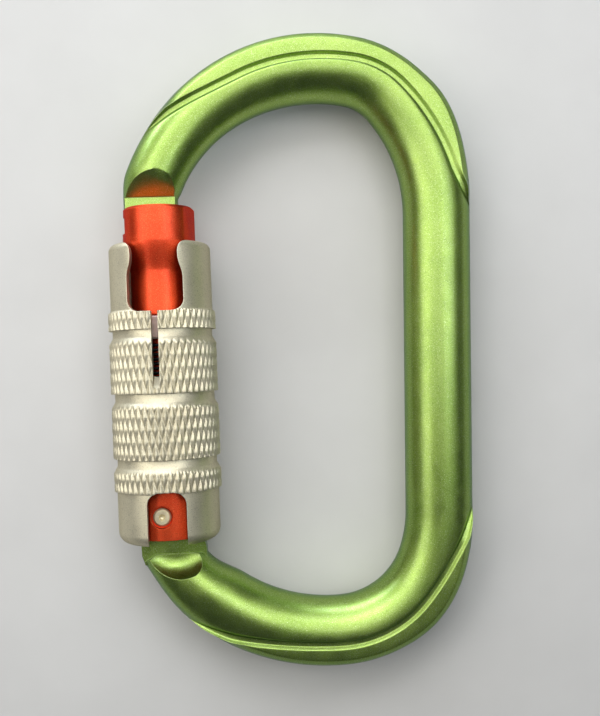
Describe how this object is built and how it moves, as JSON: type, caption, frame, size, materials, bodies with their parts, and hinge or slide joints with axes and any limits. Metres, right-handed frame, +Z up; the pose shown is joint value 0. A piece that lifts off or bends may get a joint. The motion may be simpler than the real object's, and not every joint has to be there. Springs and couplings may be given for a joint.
{
  "type": "locking carabiner",
  "caption": "Forged D-shaped locking carabiner with a hinged keyed gate and a spring-loaded lift-and-turn locking sleeve.",
  "frame": {"origin": "centre of the base of the box that holds the part as it lies on the ground", "axes": "+Y along the gate from the hinge to the nose, +X from the gate towards the spine, +Z up; the frame's middle plane is tipped 3.9 degrees about +Y, because the fat sleeve and the thinner spine both rest on the ground"},
  "size_m": [0.0648, 0.1118, 0.0187],
  "materials": {
    "frame_green": "satin green anodising",
    "gate_red": "satin orange-red anodising",
    "sleeve_champagne": "matt champagne-grey anodising",
    "steel": "bright drawn and headed steel",
    "black_wire": "oil-black spring wire",
    "collar_acetal": "moulded acetal"
  },
  "bodies": {
    "frame": {"frame": "frame_green"},
    "gate": {"gate_body": "gate_red", "hinge_rivet": "steel", "gate_spring": "steel", "guide_pin": "steel", "spring_collar": "collar_acetal", "sleeve_spring": "black_wire"},
    "plunger": {"gate_plunger": "steel"},
    "sleeve_seat": {"thrust_ring": "steel"},
    "sleeve": {"locking_sleeve": "sleeve_champagne"}
  },
  "joints": [
    {"name": "gate_swing", "type": "hinge", "parent": "frame", "child": "gate", "pos_m": [-0.0239, -0.02758, 0.0094], "axis": [-0.0676, 0, -0.9977], "range_deg": [0, 27], "stiffness_Nm_per_rad": 0.15, "springref_deg": -57.3},
    {"name": "plunger_slide", "type": "slide", "parent": "gate", "child": "plunger", "axis": [0, 1, 0], "range_m": [0, 0.0015], "deforming": ["gate_spring"]},
    {"name": "sleeve_lift", "type": "slide", "parent": "gate", "child": "sleeve_seat", "axis": [0, 1, 0], "range_m": [0, 0.004], "deforming": ["sleeve_spring"]},
    {"name": "sleeve_turn", "type": "hinge", "parent": "sleeve_seat", "child": "sleeve", "pos_m": [-0.02307, -0.02718, 0.00934], "axis": [0, 1, 0], "range_deg": [0, 90], "stiffness_Nm_per_rad": 0.004, "springref_deg": -45.84}
  ],
  "couplings": [
    {"joint": "sleeve_turn", "follows": "gate_swing", "ratio": 3.3333},
    {"joint": "sleeve_lift", "follows": "gate_swing", "m_per_rad": 0.0084883},
    {"joint": "plunger_slide", "follows": "gate_swing", "m_per_rad": 0.0031831}
  ]
}
